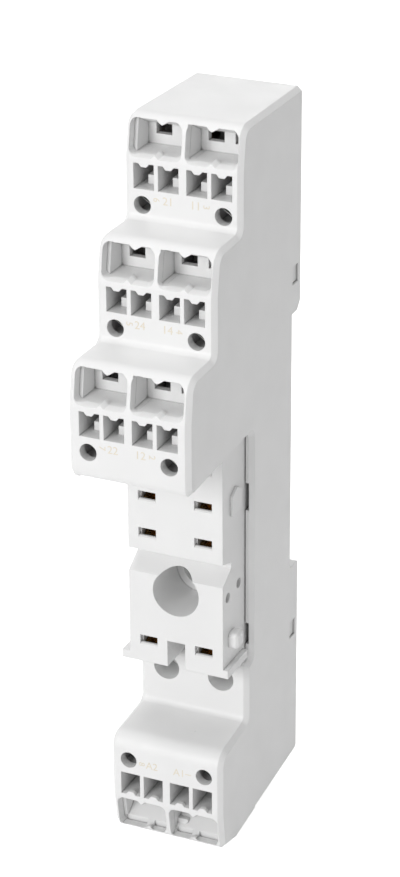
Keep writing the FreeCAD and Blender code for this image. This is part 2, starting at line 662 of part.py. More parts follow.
def bus_bar(name):
    """Strip bent from the clamp face over the test lug to the vertical run behind the clip."""
    tier, x_side = TERMINALS[name]
    face, fold, side = TIERS[tier]
    x = x_side * ENTRY_X
    half = BAR_W / 2
    t = BAR_T
    y0 = face + FRONT_DEEP + BAR_GAP
    y1 = y0 + BAR_LEN
    top = fold + side * BAR_UP[tier]
    low = fold - side * BAR_DROP
    run_y = BAR_RUN_Y[tier]
    run_w = RUN_W / 2
    side_x = inner_half(run_y) - RUN_GAP - run_w
    run_x = x_side * (PIN_X if tier in ("com", "no") else side_x)
    row_z = ROW_Z0 + ROWS[tier]
    foot = row_z - side * LUG_OVER
    clamp = box(x - half, x + half, y0, y1, top - t / 2, top + t / 2)
    plate = box(x - half, x + half, y1 - t, y1, top, low)
    leg = box(run_x - run_w, run_x + run_w, y1 - t, run_y + t / 2, low - t / 2, low + t / 2)
    run = box(run_x - run_w, run_x + run_w, run_y - t / 2, run_y + t / 2, low, foot)
    lug = box(x_side * (PIN_X - CLIP_W / 2), run_x + x_side * run_w, run_y - t / 2, run_y + t / 2,
              foot, foot + side * LUG_H)
    return clamp.fuse([plate, leg, run, lug]).removeSplitter()


def clamp_spring(name, which):
    """Leaf bent back on itself: one leg on the bar's plate, the other leaning up to the clamp face."""
    tier, x_side = TERMINALS[name]
    face, fold, side = TIERS[tier]
    x = x_side * ENTRY_X + which * SPRING_X
    w = SPRING_W / 2
    t = SPRING_T
    r = SPRING_R
    back = face + FRONT_DEEP + BAR_GAP + BAR_LEN - BAR_T
    top = fold + side * (BAR_UP[tier] - BAR_T / 2)
    bend_z = fold - side * SPRING_DOWN
    mid_y = back - t / 2 - r
    ring = Part.makeCylinder(r + t / 2, 2 * w, V(x - w, mid_y, bend_z), V(1, 0, 0))
    ring = ring.cut(Part.makeCylinder(r - t / 2, 2 * w, V(x - w, mid_y, bend_z), V(1, 0, 0)))
    wide = r + t
    ring = ring.cut(box(x - w - 1, x + w + 1, mid_y - wide, mid_y + wide, bend_z, bend_z + side * wide))
    fixed = box(x - w, x + w, back - t, back, bend_z, top - side * SPRING_SHORT)
    lean = math.tan(math.radians(SPRING_LEAN))
    front = mid_y - r
    rise = abs(top - bend_z) - SPRING_CLEAR
    shift = rise * lean
    leg = side_plate([(front - t / 2, bend_z, 0), (front + t / 2, bend_z, 0),
                      (front + t / 2 + shift, bend_z + side * rise, 0),
                      (front - t / 2 + shift, bend_z + side * rise, 0)], x - w, x + w)
    return ring.fuse([fixed, leg]).removeSplitter()


def rail_latch():
    """Slider with a tooth behind the rail's lower flange and a tail with a slot for a screwdriver."""
    notch = NOTCH_TOP
    half = LATCH_W / 2
    front = WING_Y - LATCH_WING_T + LATCH_PLAY
    tail_z = FOOT_Z - LATCH_TAIL
    body = box(-half, half, front, BASE_Y, tail_z, -notch - LATCH_PLAY)
    tip = HOOK_BITE - notch
    root = -notch - HOOK_BITE / 2
    tooth = side_plate([(HOOK_Y, root, 0), (HOOK_Y, tip, 0), (HOOK_Y + HOOK_C, tip, 0),
                        (BASE_Y, root + HOOK_BITE, 0), (BASE_Y, root, 0)], -half, half)
    wing_half = half + LATCH_WING - LATCH_PLAY
    pocket_low = WAVE_TOP_Z - POCKET_H
    wing = box(-wing_half, wing_half, front, WING_Y, pocket_low, LATCH_TOP_Z - LATCH_PLAY)
    body = body.fuse([tooth, wing])
    slot_z = tail_z + TAIL_SLOT_UP
    slot = box(-TAIL_SLOT_W / 2, TAIL_SLOT_W / 2, 0, BACK_Y + 1, slot_z, slot_z + TAIL_SLOT_H)
    pocket_w = WAVE_W / 2 + POCKET_PLAY
    pocket = box(-pocket_w, pocket_w, front - 1, WING_Y + POCKET_PLAY, pocket_low, WAVE_TOP_Z)
    return body.cut([slot, pocket])


def latch_spring():
    """Flat serpentine spring in the latch's pocket."""
    top = WAVE_TOP_Z
    y0 = WING_Y - LATCH_WING_T + LATCH_PLAY
    y1 = y0 + WAVE_DEEP
    half = WAVE_W / 2
    t = WAVE_T
    bars = []
    for i in range(WAVE_N):
        z = top - t / 2 - i * WAVE_PITCH
        bars.append(box(-half, half, y0, y1, z - t / 2, z + t / 2))
        if i < WAVE_N - 1:
            x = half - t if i % 2 else -half
            bars.append(box(x, x + t, y0, y1, z - WAVE_PITCH, z))
    return bars[0].fuse(bars[1:]).removeSplitter()


def write(shape, name):
    solids = shape.Solids
    out = solids[0] if len(solids) == 1 else shape
    out.exportStep("parts/" + name + ".step")
    print(name, "solids", len(solids), "volume", round(shape.Volume, 2), "valid", shape.isValid())


def main():
    write(housing(), "housing")
    write(base(), "base")
    write(relay_block(), "relay_block")
    write(rail_latch(), "rail_latch")
    write(latch_spring(), "latch_spring")
    for name in TERMINALS:
        write(contact_clip(name), "contact_clip_" + name)
        write(bus_bar(name), "bus_bar_" + name)
        write(clamp_spring(name, -1), "clamp_spring_" + name + "_a")
        write(clamp_spring(name, 1), "clamp_spring_" + name + "_b")


main()
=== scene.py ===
"""Looks, stage and camera for a slim relay socket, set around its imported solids.

Laid out as a Blender add-on and run as a script. Lengths are metres, in the frame of the solids: X across the
socket, the front towards -Y, +Z up, and the origin in the middle of the rail seat. The places and sizes in the
tables below are millimetres, unless their comment says metres.
"""

import math

import bmesh
import bpy
import numpy as np
from bpy.props import FloatProperty, FloatVectorProperty, PointerProperty
from mathutils import Matrix, Vector


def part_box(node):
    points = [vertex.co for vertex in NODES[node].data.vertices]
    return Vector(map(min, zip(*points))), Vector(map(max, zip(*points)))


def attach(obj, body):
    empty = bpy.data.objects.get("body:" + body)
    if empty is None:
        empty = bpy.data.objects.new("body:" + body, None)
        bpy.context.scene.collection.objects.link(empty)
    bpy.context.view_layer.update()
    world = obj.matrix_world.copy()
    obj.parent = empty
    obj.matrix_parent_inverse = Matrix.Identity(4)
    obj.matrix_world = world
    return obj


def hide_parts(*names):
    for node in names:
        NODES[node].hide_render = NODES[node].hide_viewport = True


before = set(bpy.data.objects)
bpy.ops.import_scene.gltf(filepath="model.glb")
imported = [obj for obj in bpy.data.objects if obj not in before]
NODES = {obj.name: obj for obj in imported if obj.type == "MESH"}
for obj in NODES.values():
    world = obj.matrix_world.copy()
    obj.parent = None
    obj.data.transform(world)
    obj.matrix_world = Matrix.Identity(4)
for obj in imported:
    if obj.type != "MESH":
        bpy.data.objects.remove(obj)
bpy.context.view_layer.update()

bl_info = {
    "name": "Relay socket looks",
    "version": (1, 0, 0),
    "blender": (4, 5, 0),
    "location": "3D View > Sidebar > Socket",
    "description": "Finishes, printed numbers, stage and camera of a slim relay socket",
    "category": "Object",
}

MM = 0.001
BODY = "socket"
MERGE = 1e-7                 # points closer than this are one point, in metres

# Front faces of the four tiers: depth y, height z of the fold, and which way the entries lie from the squares
TIER_FACES = {
    "top": (-16.21, 41.16, 1),
    "middle": (-24.04, 28.50, 1),
    "lower": (-31.87, 15.84, 1),
    "bottom": (-22.75, -42.20, -1),
}

# Terminal numbers and the smaller pin numbers beside them, left then right
TIER_NUMBERS = {
    "top": (("21", "11"), ("6", "3")),
    "middle": (("24", "14"), ("5", "4")),
    "lower": (("22", "12"), ("7", "2")),
    "bottom": (("A2", "A1"), ("8", "1")),
}
NUMBER_X = (-2.0, 1.65)
PIN_NUMBER_X = (-3.35, 3.05)
NUMBER_DROP = {1: 4.75, -1: 5.45}        # below the fold, away from the entries

# Wire entries: middles in x and in z from the fold, half width, and slope of the leaned faces, depth over height
ENTRY_X = 3.6
ENTRY_UP = 2.55
ENTRY_HALF = 3.375
LEAN = 0.1584
# Straight wall at the left of an entry's mouth, carved from in front of the face to its depth
MOUTH_INSET = 0.02
MOUTH_WIDE = 1.25
MOUTH_ROUND = 0.65
MOUTH_SPARE = 0.03           # over the throat's height
MOUTH_START = 0.3
MOUTH_DEEP = 1.4
# Funnel behind it: half height and end of the throat, depth and height of the narrow end, and where the carving of
# its left wall starts and ends from the entry's left edge
THROAT_HALF = 2.07
THROAT_END = 1.55
FUNNEL_START = 1.0
FUNNEL_DEEP = 4.69
FUNNEL_HIGH = {1: 2.59, -1: 1.79}
FUNNEL_WALL = {-1: 0.5, 1: 0.06}         # left entry, right entry
FUNNEL_WIDE = 1.2
# Sill and gap behind the lower lip of the bottom entries: its outline in depth and height from the lip, its ends
# from the entry's left edge, and the tooth that parts it
SILL = ((0.95, 0.0), (2.0, 0.0), (2.0, -0.8), (2.3, -0.8), (2.3, 0.62), (0.95, 0.62))
SILL_ENDS = (0.3, 6.3)
TOOTH_SHIFT = 0.45
TOOTH_HALF = 0.45

# Test holes: middles in x and in z from the fold, and the slanting spring leaves in the room behind each
TEST_X = 5.2
TEST_DOWN = 5.6
LEAF_LIFTS = (-0.15, 0.3)
LEAF_DEPTH = (1.75, 3.4)
LEAF_RING = ((-1.4, 0.79), (1.4, -1.11), (1.4, -0.99), (-1.4, 0.91))

# Wire stop on the floor and left wall of the bottom tier's right entry: its outline in (x, z) and its depths y
STOP_RING = ((0.2, -46.05), (1.25, -46.05), (1.7, -45.7), (1.7, -45.3), (0.2, -45.3))
STOP_DEPTH = (-20.05, -19.4)

# Mould marks: sections as shares of the mark's radius (distance from the axis, height), places and axes
EJECTOR_RING = ((0, -0.1), (0.55, -0.1), (0.7, 0.06), (0.85, 0.09), (1, 0.02), (1, -0.3), (0, -0.3))
EJECTOR_PLACES = (("right", 4.2, -0.42), ("left", -4.6, -0.3))
EJECTOR_DROP = -0.33
EJECTOR_SIDES = 20
GATE_RING = ((0, 0.6), (0.5, 0.5), (0.85, 0.2), (1, -0.2), (1, -1), (0, -1))
GATE_PLACE = (2.1, -18.6, -32.89)
GATE_AXIS = (0, -0.07, 1)
GATE_SIDES = 16

# Noise layers of the finishes, in features a metre, and the part of the noise's range that is used
NOISE_SCALE = {
    "cloudy tone": 140.0,
    "uneven gloss": 420.0,
    "mould grain": 9000.0,
    "tarnish": 500.0,
    "rolling streaks": 2500.0,
    "uneven print": 3000.0,
    "print gloss": 2000.0,
}
NOISE_RANGE = (0.3, 0.7)
# Plastic: depth of the clouds, spread of the roughness, height of the grain in metres, and how open a face is where
# the painted shade of a gap or a recess is darkest and where that painted shade ends
CLOUD_DEPTH = 0.025
PLASTIC_SPREAD = (-0.05, 0.06)
GRAIN_HEIGHT = 0.00002
PLASTIC_IOR = 1.5
CREVICE_SHADE_OPEN = (0.2, 0.75)
RECESS_SHADE_OPEN = (0.02, 0.2)
# Samples of the occlusion that leads the painted shade, and of the rounded edges
SHADE_SAMPLES = 8
ROUND_SAMPLES = 6
# Metal: depth of the tarnish, roughness and its spread, and the streaks' waves, strength and height in metres
TARNISH_DEPTH = 0.3
BRASS_ROUGHNESS = 0.26
STEEL_ROUGHNESS = 0.34
METAL_SPREAD = (-0.06, 0.08)
STREAK_WAVE = 1.5
STREAK_STRENGTH = 0.2
STREAK_HEIGHT = 0.00001
# Print: depth of its unevenness, range of its roughness, and steps of a letter's curves
PRINT_DEPTH = 0.08
PRINT_ROUGHNESS = (0.5, 0.65)
PRINT_STEPS = 3

# Stage in metres: lamps with their places and sizes, and the sweep's near edge, bend, radius, height and half width
LAMPS = (
    ("key", (-0.24, -1.0, 0.38), 0.5),
    ("top", (-0.1, -0.02, 1.1), 0.7),
    ("back", (-0.35, 1.0, 0.02), 0.6),
)
LAMP_AIM = (0, -0.015, 0.0)
SWEEP_NEAR = -1.6
SWEEP_BEND = 1.0
SWEEP_RADIUS = 0.5
SWEEP_HIGH = 2.2
SWEEP_HALF = 2.2
SWEEP_COUNTS = (14, 16, 9)   # points along the floor, round the bend and across
SWEEP_TONE = (0.8, 0.8, 0.8, 1)
SWEEP_LIFT = 0.74            # glow that brings the sweep to white in the camera's eyes
SENSOR_WIDTH = 36
CLIP = (0.01, 20)


def spread(tree, value, source, target):
    """A value's source range drawn out over the target range, and held at its ends."""
    level = tree.nodes.new("ShaderNodeMapRange")
    level.inputs["From Min"].default_value = source[0]
    level.inputs["From Max"].default_value = source[1]
    level.inputs["To Min"].default_value = target[0]
    level.inputs["To Max"].default_value = target[1]
    tree.links.new(value, level.inputs["Value"])
    return level.outputs["Result"]


def uneven_value(tree, layer, low, high, detail=3.0, distortion=0.0):
    """A layer of noise on Object coordinates, spread over the range from low to high."""
    coord = tree.nodes.new("ShaderNodeTexCoord")
    noise = tree.nodes.new("ShaderNodeTexNoise")
    noise.label = layer
    noise.inputs["Scale"].default_value = NOISE_SCALE[layer]
    noise.inputs["Detail"].default_value = detail
    noise.inputs["Distortion"].default_value = distortion
    tree.links.new(coord.outputs["Object"], noise.inputs["Vector"])
    return spread(tree, noise.outputs["Fac"], NOISE_RANGE, (low, high))


def tinted(tree, value, color, amount):
    """Mix of a colour and the same colour made darker by amount, led by value."""
    mix = tree.nodes.new("ShaderNodeMix")
    mix.data_type = "RGBA"
    mix.inputs["A"].default_value = (*(c * (1 - amount) for c in color), 1)
    mix.inputs["B"].default_value = (*color, 1)
    tree.links.new(value, mix.inputs["Factor"])
    return mix.outputs["Result"]


def dimmed(tree, color, value):
    """The colour multiplied by a value."""
    mix = tree.nodes.new("ShaderNodeMix")
    mix.data_type = "RGBA"
    mix.blend_type = "MULTIPLY"
    mix.inputs["Factor"].default_value = 1.0
    tree.links.new(color, mix.inputs["A"])
    tree.links.new(value, mix.inputs["B"])
    return mix.outputs["Result"]


def painted_shade(tree, reach, openness, low):
    """Painted shade: a value from ambient occlusion that darkens the colour in gaps and recesses. It is low on
    faces no more open than the first share of openness, and 1 from the second share on, looking reach metres round."""
    near = tree.nodes.new("ShaderNodeAmbientOcclusion")
    near.samples = SHADE_SAMPLES
    near.inputs["Distance"].default_value = reach
    return spread(tree, near.outputs["AO"], openness, (low, 1.0))


def bumped(tree, height, strength, distance):
    """A bump node led by a height."""
    bump = tree.nodes.new("ShaderNodeBump")
    bump.inputs["Strength"].default_value = strength
    bump.inputs["Distance"].default_value = distance
    tree.links.new(height, bump.inputs["Height"])
    return bump


def new_finish(name):
    """An empty material with a Principled surface. Returns it, its tree and the shader."""
    material = bpy.data.materials.new(name)
    material.use_nodes = True
    tree = material.node_tree
    tree.nodes.clear()
    out = tree.nodes.new("ShaderNodeOutputMaterial")
    shader = tree.nodes.new("ShaderNodeBsdfPrincipled")
    tree.links.new(shader.outputs["BSDF"], out.inputs["Surface"])
    return material, tree, shader


def moulded_plastic(name, color, p):
    """Moulded thermoplastic with the sizes and tones of p: faint cloudy tone, painted shade that darkens the colour
    in crevices and recesses, the fine grain of the mould, and rounded edges."""
    material, tree, shader = new_finish(name)
    cloud = uneven_value(tree, "cloudy tone", 0.0, 1.0)
    tone = tinted(tree, cloud, color, CLOUD_DEPTH)
    # Painted shade: the colour is darkened in narrow gaps and in deep recesses, where shade falls
    tone = dimmed(tree, tone, painted_shade(tree, p.crevice_shade_reach, CREVICE_SHADE_OPEN, p.crevice_shade_tone))
    tone = dimmed(tree, tone, painted_shade(tree, p.recess_shade_reach, RECESS_SHADE_OPEN, p.recess_shade_tone))
    tree.links.new(tone, shader.inputs["Base Color"])
    gloss = uneven_value(tree, "uneven gloss", *(p.plastic_roughness + s for s in PLASTIC_SPREAD))
    tree.links.new(gloss, shader.inputs["Roughness"])
    bevel = tree.nodes.new("ShaderNodeBevel")
    bevel.samples = ROUND_SAMPLES
    bevel.inputs["Radius"].default_value = p.edge
    grains = uneven_value(tree, "mould grain", 0.0, 1.0, detail=2.0)
    bump = bumped(tree, grains, p.grain, GRAIN_HEIGHT)
    tree.links.new(bevel.outputs["Normal"], bump.inputs["Normal"])
    tree.links.new(bump.outputs["Normal"], shader.inputs["Normal"])
    shader.inputs["IOR"].default_value = PLASTIC_IOR
    return material


def sheet_metal(name, color, roughness):
    """Rolled strip: metal with faint lengthwise streaks and a slightly uneven tarnish."""
    material, tree, shader = new_finish(name)
    tarnish = uneven_value(tree, "tarnish", 0.0, 1.0, detail=4.0)
    tree.links.new(tinted(tree, tarnish, color, TARNISH_DEPTH), shader.inputs["Base Color"])
    ends = (roughness + s for s in METAL_SPREAD)
    streaks = uneven_value(tree, "rolling streaks", *ends, distortion=STREAK_WAVE)
    tree.links.new(streaks, shader.inputs["Roughness"])
    bump = bumped(tree, streaks, STREAK_STRENGTH, STREAK_HEIGHT)
    tree.links.new(bump.outputs["Normal"], shader.inputs["Normal"])
    shader.inputs["Metallic"].default_value = 1.0
    return material


def printed_ink(name, color):
    """Thin matt print, a little uneven, like laser marking on plastic."""
    material, tree, shader = new_finish(name)
    uneven = uneven_value(tree, "uneven print", 0.0, 1.0)
    tree.links.new(tinted(tree, uneven, color, PRINT_DEPTH), shader.inputs["Base Color"])
    gloss = uneven_value(tree, "print gloss", *PRINT_ROUGHNESS)
    tree.links.new(gloss, shader.inputs["Roughness"])
    return material


def seen_by_eye(tree):
    """1 for camera, glossy and transmission rays, 0 for the others."""
    path = tree.nodes.new("ShaderNodeLightPath")
    seen = path.outputs["Is Camera Ray"]
    for ray in ("Is Glossy Ray", "Is Transmission Ray"):
        either = tree.nodes.new("ShaderNodeMath")
        either.operation = "MAXIMUM"
        tree.links.new(seen, either.inputs[0])
        tree.links.new(path.outputs[ray], either.inputs[1])
        seen = either.outputs[0]
    return seen


def dress(piece, material):
    """Gives a piece one material."""
    piece.data.materials.clear()
    piece.data.materials.append(material)


def mesh_piece(name, points, faces, material=None):
    """A flat shaded mesh object from arrays of points and faces, at the origin."""
    mesh = bpy.data.meshes.new(name)
    mesh.from_pydata(points.tolist(), [], [list(map(int, f)) for f in faces])
    mesh.update()
    mesh.validate()
    piece = bpy.data.objects.new(name, mesh)
    bpy.context.scene.collection.objects.link(piece)
    if material:
        mesh.materials.append(material)
    return piece


def face_outwards(piece):
    """Turns every face of a closed piece outwards."""
    bm = bmesh.new()
    bm.from_mesh(piece.data)
    bmesh.ops.remove_doubles(bm, verts=bm.verts, dist=MERGE)
    bmesh.ops.recalc_face_normals(bm, faces=bm.faces)
    bm.to_mesh(piece.data)
    bm.free()


def keep_on_socket(piece):
    """The piece moves with the socket's body."""
    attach(piece, BODY)


def add_to_socket(name, form, material):
    """A new piece of the socket from the points and faces of closed forms."""
    piece = mesh_piece(name, *form, material)
    face_outwards(piece)
    keep_on_socket(piece)


def joined(forms):
    """Several closed forms as one array of points and one list of faces."""
    points = np.vstack([p for p, _ in forms])
    faces = []
    count = 0
    for p, rows in forms:
        faces += [tuple(v + count for v in f) for f in rows]
        count += len(p)
    return points, faces


def turned_form(profile, centre, axis, segments):
    """A closed form turned about an axis. Profile is rows of (distance from the axis, height along it), and its
    first and last rows lie on the axis. Point (i, j) is centre + r_i (cos a_j u + sin a_j v) + h_i axis."""
    n = Vector(axis).normalized()
    u = n.orthogonal().normalized()
    v = n.cross(u)
    a = np.linspace(0, 2 * math.pi, segments, endpoint=False)
    ring = np.outer(np.cos(a), np.array(u)) + np.outer(np.sin(a), np.array(v))
    inner = profile[1:-1]
    body = inner[:, None, :1] * ring[None] + inner[:, None, 1:] * np.array(n)
    first = np.array(n) * profile[0, 1]
    last = np.array(n) * profile[-1, 1]
    points = np.vstack([first, body.reshape(-1, 3), last]) + np.asarray(centre, float)
    rows = len(inner)
    j = np.arange(segments)
    k = (j + 1) % segments
    quads = [np.stack([1 + i * segments + j, 1 + i * segments + k, 1 + (i + 1) * segments + k,
                       1 + (i + 1) * segments + j], 1) for i in range(rows - 1)]
    top = np.stack([np.zeros_like(j), 1 + k, 1 + j], 1)
    end = 1 + (rows - 1) * segments
    low = np.stack([np.full_like(j, len(points) - 1), end + j, end + k], 1)
    faces = [f for q in quads for f in q] + list(top) + list(low)
    return points, faces


def prism(ring, start, end):
    """A closed form from a ring of points moved by start, to the same ring moved by end."""
    n = len(ring)
    points = np.vstack([ring + start, ring + end])
    k = np.arange(n)
    walls = np.stack([k, (k + 1) % n, (k + 1) % n + n, k + n], 1)
    faces = [tuple(range(n - 1, -1, -1)), tuple(range(n, 2 * n))] + [tuple(w) for w in walls]
    return points, faces


def rounded_left(x0, x1, z, half, r, steps=5):
    """Outline in (x, z), round at its two left corners: the corner's points are centre + r (cos a, sin a)."""
    a = np.linspace(math.pi, math.pi / 2, steps)
    high = np.stack([x0 + r + r * np.cos(a), z + half - r + r * np.sin(a)], 1)
    low = np.stack([high[::-1, 0], 2 * z - high[::-1, 1]], 1)
    return np.vstack([low, high, [[x1, z + half], [x1, z - half]]])


def entry_cutters(face, fold, side):
    """Forms to carve a tier's two wire entries: a straight mouth wall at the left, the funnel's wall behind it,
    and the sill of the bottom entries. A point of the leaned face at height z has the depth
    face + side (z - fold) LEAN."""
    z = fold + side * ENTRY_UP
    near = z - side * THROAT_HALF
    far = z + side * THROAT_HALF
    forms = []
    for hand in (-1, 1):
        x = hand * ENTRY_X
        left = x - ENTRY_HALF
        outline = rounded_left(left + MOUTH_INSET, left + MOUTH_WIDE, z, THROAT_HALF + MOUTH_SPARE, MOUTH_ROUND)
        leaned = face + side * (outline[:, 1] - fold) * LEAN
        mouth = np.stack([outline[:, 0], leaned, outline[:, 1]], 1) * MM
        forms.append(prism(mouth, (0, -MOUTH_START * MM, 0), (0, MOUTH_DEEP * MM, 0)))
        side_view = ((FUNNEL_START, near), (FUNNEL_DEEP, near), (FUNNEL_DEEP, near + side * FUNNEL_HIGH[side]),
                     (THROAT_END, far), (FUNNEL_START, far))
        funnel = np.array([(0, face + y, h) for y, h in side_view]) * MM
        ends = [((left + reach) * MM, 0, 0) for reach in (FUNNEL_WALL[hand], FUNNEL_WIDE)]
        forms.append(prism(funnel, *ends))
        if side < 0:
            tooth = x - hand * TOOTH_SHIFT
            sill = np.array([(0, face + y, far + h) for y, h in SILL]) * MM
            lengths = ((left + SILL_ENDS[0], tooth - TOOTH_HALF), (tooth + TOOTH_HALF, left + SILL_ENDS[1]))
            for start, end in lengths:
                forms.append(prism(sill, (start * MM, 0, 0), (end * MM, 0, 0)))
    return forms


def probe_leaves(face, fold, side):
    """Two slanting spring leaves across the room behind each test hole of a tier."""
    z = fold - side * TEST_DOWN
    deep = (0, (LEAF_DEPTH[1] - LEAF_DEPTH[0]) * MM, 0)
    forms = []
    for x in (-TEST_X, TEST_X):
        for lift in LEAF_LIFTS:
            ring = np.array([(x + u, face + LEAF_DEPTH[0], z + w + lift) for u, w in LEAF_RING]) * MM
            forms.append(prism(ring, (0, 0, 0), deep))
    return forms


def merged_copy(node, name):
    """A copy of a node's mesh with its loose triangles joined up."""
    mesh = node.data.copy()
    mesh.name = name
    bm = bmesh.new()
    bm.from_mesh(mesh)
    bmesh.ops.remove_doubles(bm, verts=bm.verts, dist=MERGE)
    bm.to_mesh(mesh)
    bm.free()
    piece = bpy.data.objects.new(name, mesh)
    bpy.context.scene.collection.objects.link(piece)
    return piece


def evaluated_mesh(piece):
    """A new mesh of a piece with its modifiers applied, or of a text's letters."""
    return bpy.data.meshes.new_from_object(piece.evaluated_get(bpy.context.evaluated_depsgraph_get()))


def carve(piece, forms):
    """Cuts the forms, given as points and faces, out of a closed piece."""
    for points, faces in forms:
        cutter = mesh_piece("cutter", points, faces)
        face_outwards(cutter)
        cut = piece.modifiers.new("carve", "BOOLEAN")
        cut.operation = "DIFFERENCE"
        cut.solver = "EXACT"
        cut.object = cutter
        done = evaluated_mesh(piece)
        piece.modifiers.clear()
        if not len(done.polygons):
            raise RuntimeError("carving left nothing of " + piece.name)
        spent = (piece.data, cutter.data)
        piece.data = done
        bpy.data.objects.remove(cutter)
        for mesh in spent:
            bpy.data.meshes.remove(mesh)


def printed_text(words, height, thickness, turned):
    """Points and faces of a printed word, centred on the origin and height tall. A point (a, b) of the flat letters
    is (a, -thickness, b) on the front and (a, thickness, b) on the back, or (b, .., -a) where the word is turned.
    An edge that only one face has is on the rim, and carries a wall."""
    curve = bpy.data.curves.new("print", "FONT")
    curve.body = words
    curve.size = 1.0
    curve.resolution_u = PRINT_STEPS
    curve.align_x = "CENTER"
    letter = bpy.data.objects.new("print", curve)
    bpy.context.scene.collection.objects.link(letter)
    bpy.context.view_layer.update()
    flat = evaluated_mesh(letter)
    bpy.data.objects.remove(letter)
    bpy.data.curves.remove(curve)
    co = np.zeros(len(flat.vertices) * 3)
    flat.vertices.foreach_get("co", co)
    co = co.reshape(-1, 3)
    polygons = [tuple(p.vertices) for p in flat.polygons]
    bpy.data.meshes.remove(flat)
    mid = (co.min(0) + co.max(0)) / 2
    scale = height / (co[:, 1].max() - co[:, 1].min())
    plane = (co[:, :2] - mid[:2]) * scale
    if turned:
        plane = np.stack([plane[:, 1], -plane[:, 0]], 1)
    edges = {edge: True for polygon in polygons for edge in zip(polygon, polygon[1:] + polygon[:1])}
    rim = [edge for edge in edges if edge[::-1] not in edges]
    n = len(plane)
    points = np.zeros((2 * n, 3))
    points[:n, 0] = points[n:, 0] = plane[:, 0]
    points[:n, 2] = points[n:, 2] = plane[:, 1]
    points[:n, 1] = -thickness
    points[n:, 1] = thickness
    faces = list(polygons)
    faces += [tuple(v + n for v in reversed(p)) for p in polygons]
    faces += [(b, a, a + n, b + n) for a, b in rim]
    return points, faces


class SocketFinish(bpy.types.PropertyGroup):
    housing: FloatVectorProperty(name="Housing", description="Colour of the moulded housing", subtype="COLOR",
                                 default=(0.845, 0.845, 0.843), min=0, max=1)
    block: FloatVectorProperty(name="Relay block", description="Colour of the contact carrier", subtype="COLOR",
                               default=(0.835, 0.835, 0.833), min=0, max=1)
    base: FloatVectorProperty(name="Base and latch", description="Colour of the rear mouldings", subtype="COLOR",
                              default=(0.80, 0.80, 0.798), min=0, max=1)
    brass: FloatVectorProperty(name="Contacts", description="Colour of the contact strip", subtype="COLOR",
                               default=(0.34, 0.22, 0.09), min=0, max=1)
    steel: FloatVectorProperty(name="Springs", description="Colour of the spring steel", subtype="COLOR",
                               default=(0.50, 0.50, 0.49), min=0, max=1)
    ink: FloatVectorProperty(name="Print", description="Colour of the printed numbers", subtype="COLOR",
                             default=(0.80, 0.74, 0.62), min=0, max=1)
    plastic_roughness: FloatProperty(name="Plastic roughness", description="Roughness of the moulded surfaces",
                                     default=0.46, min=0, max=1, subtype="FACTOR")
    grain: FloatProperty(name="Grain", description="Strength of the mould's fine grain", default=0.25, min=0,
                         max=1, subtype="FACTOR")
    edge: FloatProperty(name="Edge radius", description="Round on every moulded edge", default=0.00012, min=0,
                        unit="LENGTH")
    # Painted shade: reach and tone of the darkening painted into the plastic's colour in gaps and recesses
    crevice_shade_reach: FloatProperty(name="Crevice reach", description="Width of the gaps and corners that darken",
                                 default=0.0004, min=0, unit="LENGTH")
    recess_shade_reach: FloatProperty(name="Recess reach", description="Size of the deep recesses that darken",
                                default=0.0045, min=0, unit="LENGTH")
    crevice_shade_tone: FloatProperty(name="Crevice tone", description="Tone in the deepest crevices", default=0.35,
                                min=0, max=1, subtype="FACTOR")
    recess_shade_tone: FloatProperty(name="Recess tone", description="Tone in the deepest recesses", default=0.65,
                               min=0, max=1, subtype="FACTOR")


class SocketMarks(bpy.types.PropertyGroup):
    number_height: FloatProperty(name="Number height", description="Height of the terminal numbers",
                                 default=0.00098, unit="LENGTH")
    pin_height: FloatProperty(name="Pin number height", description="Height of the small turned pin numbers",
                              default=0.00082, unit="LENGTH")
    print_thickness: FloatProperty(name="Print thickness", description="Half the thickness of the print",
                                   default=0.000012, unit="LENGTH")
    ejector_radius: FloatProperty(name="Ejector mark", description="Radius of an ejector mark on the top",
                                  default=0.00042, unit="LENGTH")
    gate_radius: FloatProperty(name="Gate mark", description="Radius of the small dot on the bottom tier",
                               default=0.00016, unit="LENGTH")


class SocketStage(bpy.types.PropertyGroup):
    camera_place: FloatVectorProperty(name="Camera", description="Place of the camera", subtype="TRANSLATION",
                                      unit="LENGTH", default=(0.1262, -0.2907, 0.1461))
    yaw: FloatProperty(name="Yaw", description="Turn of the camera to the left of +Y", subtype="ANGLE",
                       default=math.radians(24.341))
    pitch: FloatProperty(name="Pitch", description="Tilt of the camera below level", subtype="ANGLE",
                         default=math.radians(24.829))
    roll: FloatProperty(name="Roll", description="Roll of the camera", subtype="ANGLE",
                        default=math.radians(-0.375))
    lens: FloatProperty(name="Lens", description="Focal length", default=112.918, unit="CAMERA")
    ambient: FloatProperty(name="Ambient", description="Strength of the even light from all round",
                           default=0.435, min=0)
    key: FloatProperty(name="Key", description="Power of the soft lamp in front", default=5.5, unit="POWER")
    top: FloatProperty(name="Top", description="Power of the soft lamp above", default=3.8, unit="POWER")
    back: FloatProperty(name="Back", description="Power of the soft lamp behind", default=1.8, unit="POWER")
    floor_drop: FloatProperty(name="Floor", description="Room under the socket for the open latch",
                              default=0.0027, unit="LENGTH")


class SOCKET_OT_mouldings(bpy.types.Operator):
    """Gives the housing, relay block, base and latch their moulded finish"""
    bl_idname = "socket.mouldings"
    bl_label = "Mouldings"

    def execute(self, context):
        p = context.scene.socket_finish
        groups = {
            "Housing grey": (("housing",), p.housing),
            "Block grey": (("relay_block",), p.block),
            "Rear grey": (("base", "rail_latch"), p.base),
        }
        for name, (nodes, color) in groups.items():
            material = moulded_plastic(name, tuple(color), p)
            for node in nodes:
                dress(NODES[node], material)
        return {"FINISHED"}


